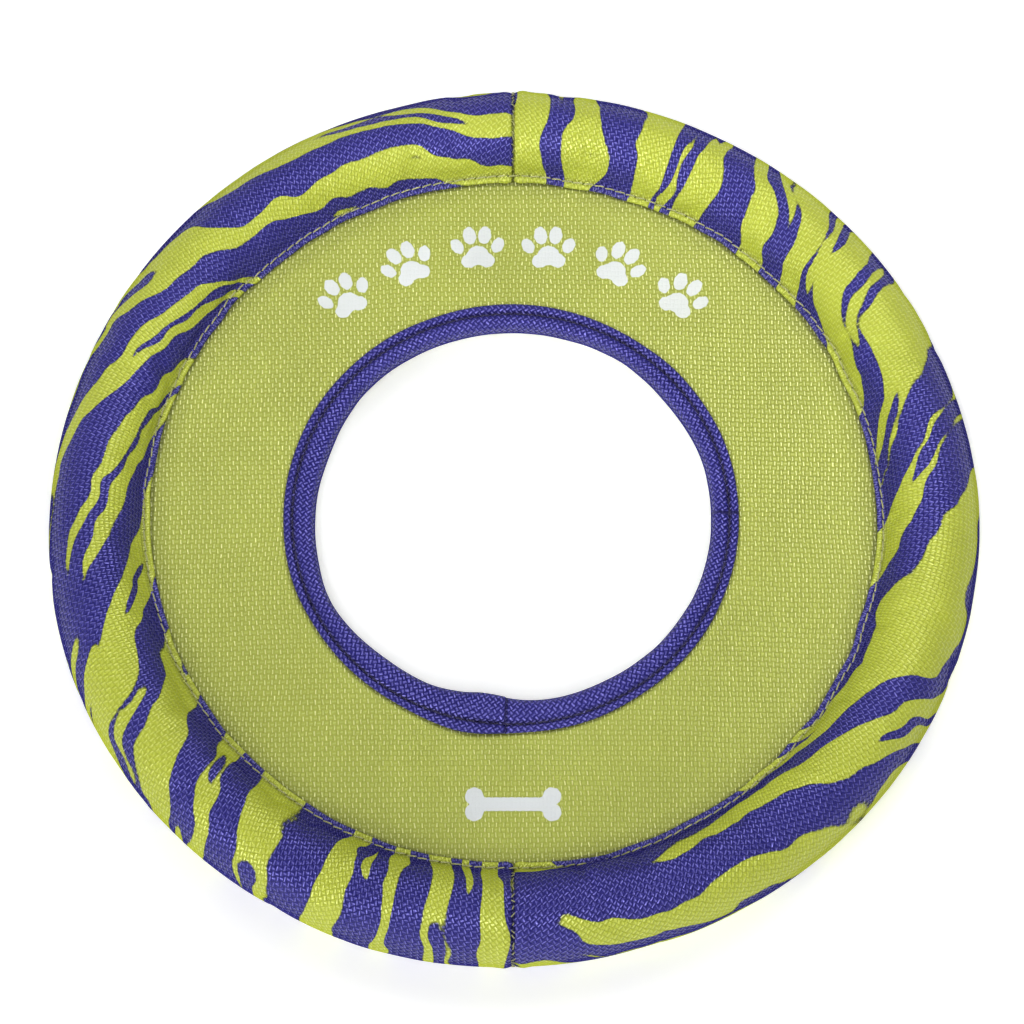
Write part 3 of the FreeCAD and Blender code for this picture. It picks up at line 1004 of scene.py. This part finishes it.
def oval_field(shader, place, centre, size, turn=0):
    """Roughly the distance outside an oval of two half sizes, turned by some degrees."""
    inputs = {0: place, 1: (*centre, 0), 2: (0, 0, math.radians(turn)), 3: (*size, 1)}
    inside = shader.node("ShaderNodeMapping", inputs, vector_type="TEXTURE").outputs[0]
    away = shader.node("ShaderNodeVectorMath", {0: inside}, operation="LENGTH").outputs["Value"]
    return shader.times(shader.minus(away, 1.0), size[0])


def paw_field(shader, across, up):
    """Below 0 inside a paw print: a broad pad, and two toes that are mirrored across its middle."""
    place = shader.node("ShaderNodeCombineXYZ", {0: across, 1: up}).outputs[0]
    pads = [oval_field(shader, place, (0, -0.9), (1.9, 1.9)),
            oval_field(shader, place, (1.6, -2.0), (1.35, 1.35))]
    paw = shader.maths("SMOOTH_MIN", *pads, 0.8)
    for centre, size, turn in (((3.6, 1.0), (1.05, 1.55), -25), ((1.35, 3.1), (1.15, 1.75), -8)):
        paw = shader.maths("MINIMUM", paw, oval_field(shader, place, centre, size, turn))
    return paw


def bone_field(shader, across, up):
    """Below 0 inside a bone: a bar, and a round knob that is mirrored to its four corners."""
    up = shader.size(up)
    place = shader.node("ShaderNodeCombineXYZ", {0: across, 1: up}).outputs[0]
    bar = shader.maths("MAXIMUM", shader.minus(up, 1.35), shader.minus(across, 7.4))
    return shader.maths("SMOOTH_MIN", oval_field(shader, place, (7.6, 1.55), (1.8, 1.8)), bar, 0.8)


def printed_share(shader, ragged):
    """Share of ink on the panel, from the motif attribute. The edge's width in mm is the paws'."""
    across, up, kind = shader.split(shader.attribute("motif"))
    across = shader.size(across)
    by_bone = shader.maths("GREATER_THAN", kind, (PAW + BONE) / 2)
    field = shader.blend(by_bone, paw_field(shader, across, up), bone_field(shader, across, up))
    ink = shader.ramp(shader.plus(shader.times(field, PAW_SIZE), ragged), -0.09, 0.09, 1.0, 0.0)
    return shader.times(ink, shader.maths("GREATER_THAN", kind, PAW / 2))


def make_panel_cloth(name, printed):
    """Lime polyester, with white ink over the weave where it is printed, and painted shadow beside the
    hem and the binding.
    """
    shader = Shader(name)
    weave = plain_weave(shader, WARP_PITCH, WEFT_PITCH, glint=0.2, lean=0.08, weft_shine=0.25)
    dye = PANEL_LIME
    ink = None
    if printed:
        ink = printed_share(shader, shader.times(weave[2], 0.10))
        dye = shader.mix(ink, dye, INK)
    x, y, _ = shader.split(shader.place())
    wander = shader.times(shader.noise(shader.attribute("grain"), 0.8, 2), 0.6)
    from_axis = shader.plus(shader.maths("DIVIDE", shader.length(x, y), METRE), wander)
    from_tape = shader.plus(shader.attribute("from_tape", "Fac"), wander)
    # Painted shadow: darker towards the hem, darker still under its fold, and in a ring beside the
    # binding's edge
    by_hem = shader.ramp(from_axis, HEM_EDGE - 6.2, HEM_EDGE + 0.3, 1.0, 0.76)
    shadow_under_fold = shader.ramp(from_axis, HEM_EDGE - 0.9, HEM_EDGE, 1.0, 0.5)
    shadow_by_tape = shader.ramp(from_tape, 0.1, 1.4, 0.38, 1.0)
    dark = shader.times(by_hem, shadow_under_fold, shadow_by_tape)
    return woven(shader, dye, PANEL_PAINTED_GLINT, LIME_GLOSS, weave, PANEL_RELIEF, 0.30, 0.88, 0.8, dark, ink)


def make_tape_cloth(name):
    """Indigo tape, cut so that its threads run slantwise."""
    shader = Shader(name)
    weave = plain_weave(shader, TAPE_PITCH, TAPE_PITCH, glint=0.3, lean=0.2)
    _, past_row, past_step = shader.split(shader.attribute("sewing"))
    # Painted shade in the groove where the tape is stitched, and at the crease by the overlap's step
    groove = shader.ramp(shader.size(past_row), 0.25, 0.85, 0.3, 1.0)
    crease_shade = shader.ramp(shader.size(shader.minus(past_step, 0.28)), 0.08, 0.5, 0.3, 1.0)
    dark = shader.times(needle_hole_shade(shader, GROOVE, BINDING_STITCHES), groove, crease_shade)
    return woven(shader, INDIGO, INDIGO_PAINTED_GLINT, INDIGO_GLOSS, weave, TAPE_RELIEF, 0.24, 0.6, 0.47, dark)


def make_thread_material(name, colour):
    """Bonded thread of three twisted plies."""
    shader = Shader(name)
    twist = shader.ramp(shader.maths("SINE", shader.attribute("ply", "Fac")), -0.9, 0.6)
    # Painted shade: darker in the grooves between the plies
    tone = shader.ramp(twist, 0.0, 1.0, 0.6, 1.05)
    return shader.finish(shader.shade(colour, tone), 0.45, twist, PLY_RELIEF, sheen=0.2)


def make_foam(name):
    """White closed-cell foam with fine pores."""
    shader = Shader(name)
    pores = {"Vector": shader.place(), "Scale": 900.0}
    cells = shader.node("ShaderNodeTexVoronoi", pores).outputs["Distance"]
    tone = shader.ramp(cells, 0.0, 0.7, 1.0, 0.86)
    return shader.finish(shader.shade(FOAM_WHITE, tone), 0.75, cells, FOAM_RELIEF, sheen=0.1)


# -------- stage, light and camera

def make_stage():
    """A plain white floor under the ring."""
    shader = Shader("floor_white")
    shader.fill(shader.surface, {"Base Color": (0.92, 0.92, 0.92, 1), "Roughness": 0.9,
                                 "Emission Color": WHITE, "Emission Strength": 0.35})
    mesh = bpy.data.meshes.new("floor")
    reach = 4.0
    corners = [(-reach, -reach, 0), (reach, -reach, 0), (reach, reach, 0), (-reach, reach, 0)]
    mesh.from_pydata(corners, [], [(0, 1, 2, 3)])
    mesh.materials.append(shader.material)
    add_object("floor", mesh)


def from_centre(azimuth, tilt, distance):
    """A place seen from the ring's middle: azimuth from +X, tilt from straight up, both in degrees."""
    turn, lean = math.radians(azimuth), math.radians(tilt)
    across = distance * math.sin(lean)
    return Vector((across * math.cos(turn), across * math.sin(turn), distance * math.cos(lean)))


def area_light(name, azimuth, tilt, distance, size, power, target=(0, 0, 0), spread=180):
    """A soft square light aimed at a point. A narrow spread, in degrees, lights only what is round it."""
    data = bpy.data.lights.new(name, "AREA")
    data.shape = "SQUARE"
    data.size = size
    data.energy = power
    data.spread = math.radians(spread)
    lamp = add_object(name, data)
    lamp.location = from_centre(azimuth, tilt, distance)
    lamp.rotation_euler = (Vector(target) - lamp.location).to_track_quat("-Z", "Y").to_euler()


def make_lights():
    """The lamps and a faint sky. The accent lamp brightens the back of the ring on its right."""
    world = bpy.data.worlds.new("studio")
    world.use_nodes = True
    background = world.node_tree.nodes["Background"]
    background.inputs["Color"].default_value = WHITE
    background.inputs["Strength"].default_value = 0.05
    bpy.context.scene.world = world
    for name, lamp in LAMPS.items():
        area_light(name, *lamp)


def make_camera():
    """Looks down on the ring from the front at the photograph's angle."""
    elevation = 69.7
    distance = 1.40
    aim = Vector((-0.0003, 0.0019, MIDDLE * METRE))
    data = bpy.data.cameras.new("camera")
    data.sensor_width = 36.0
    data.lens = 182.3
    data.clip_start = 0.05
    camera = add_object("camera", data)
    away = from_centre(FRONT, 90 - elevation, distance)
    camera.location = aim + away
    camera.rotation_euler = (-away).to_track_quat("-Z", "Y").to_euler()
    bpy.context.scene.camera = camera


def main():
    bpy.context.scene.view_settings.view_transform = "Standard"
    make_camera()
    make_stage()
    make_lights()
    printed = make_cover_cloth("cover_print")
    lime = make_panel_cloth("panel_lime", False)
    lime_printed = make_panel_cloth("panel_lime_printed", True)
    tape = make_tape_cloth("tape_indigo")
    pale = make_thread_material("thread_pale", PALE_THREAD)
    navy = make_thread_material("thread_navy", NAVY_THREAD)
    foam = make_foam("foam_white")

    make_core(foam)
    make_cover("rim_cover_right", "cover_right", -90.0, 23, 0.0, printed)
    make_cover("rim_cover_left", "cover_left", 90.0, 53, -0.25, printed)
    make_panel(lime, lime_printed, foam)
    make_binding(tape)
    rim_stitches("rim_stitches_top", "rim_needle_thread", 1, pale)
    rim_stitches("rim_stitches_bottom", "rim_bobbin_thread", -1, pale)
    binding_stitches("binding_stitches_top", "binding_needle_thread", 1, navy)
    binding_stitches("binding_stitches_bottom", "binding_bobbin_thread", -1, navy)
    seam_stitches("seam_stitches_back", "seam_thread_back", BACK, pale)
    seam_stitches("seam_stitches_front", "seam_thread_front", FRONT, pale)


main()
